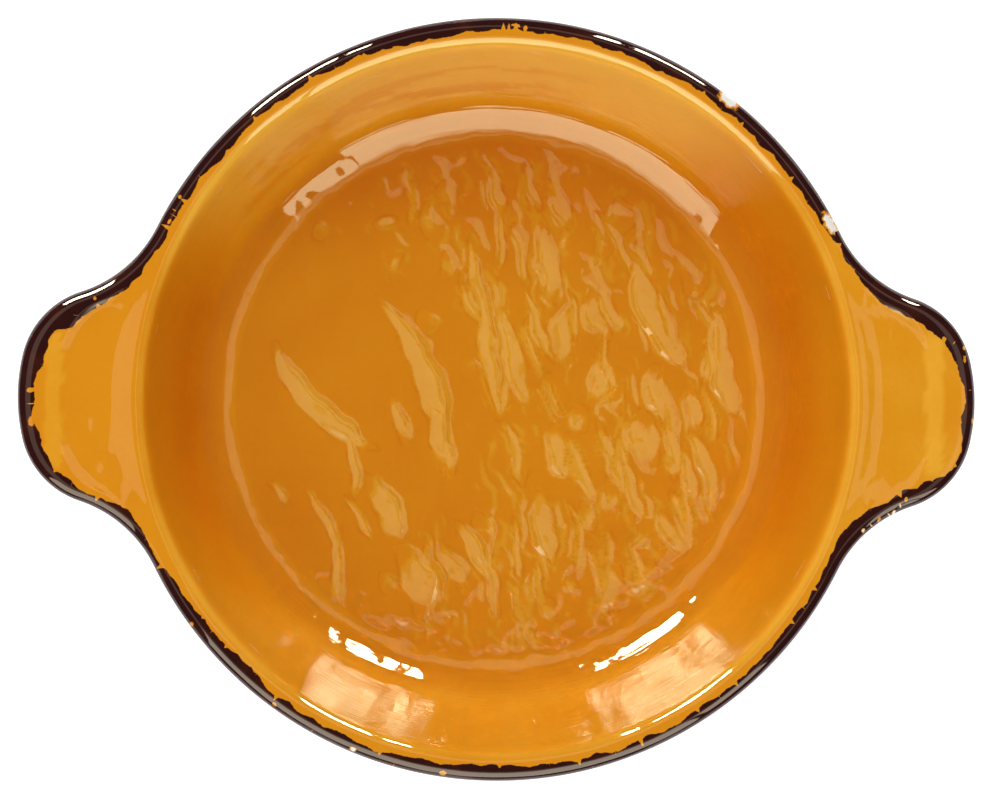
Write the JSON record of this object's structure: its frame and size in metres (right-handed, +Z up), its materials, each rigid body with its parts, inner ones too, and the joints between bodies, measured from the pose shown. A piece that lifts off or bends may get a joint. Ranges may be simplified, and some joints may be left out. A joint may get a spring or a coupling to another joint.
{
  "type": "serving dish",
  "caption": "Round, shallow serving dish with two flat tab handles, amber glaze, a dark brown painted edge and a lava-like relief on its floor.",
  "frame": {"origin": "centre of the table plane under the foot ring", "axes": "+X through the two handles, +Y across the bowl, +Z up out of the bowl"},
  "size_m": [0.3, 0.239, 0.048],
  "materials": {
    "amber_glaze": "glossy amber glaze, darker where it pools, with a dark brown painted edge"
  },
  "bodies": {
    "root": {"dish": "amber_glaze"}
  },
  "joints": []
}
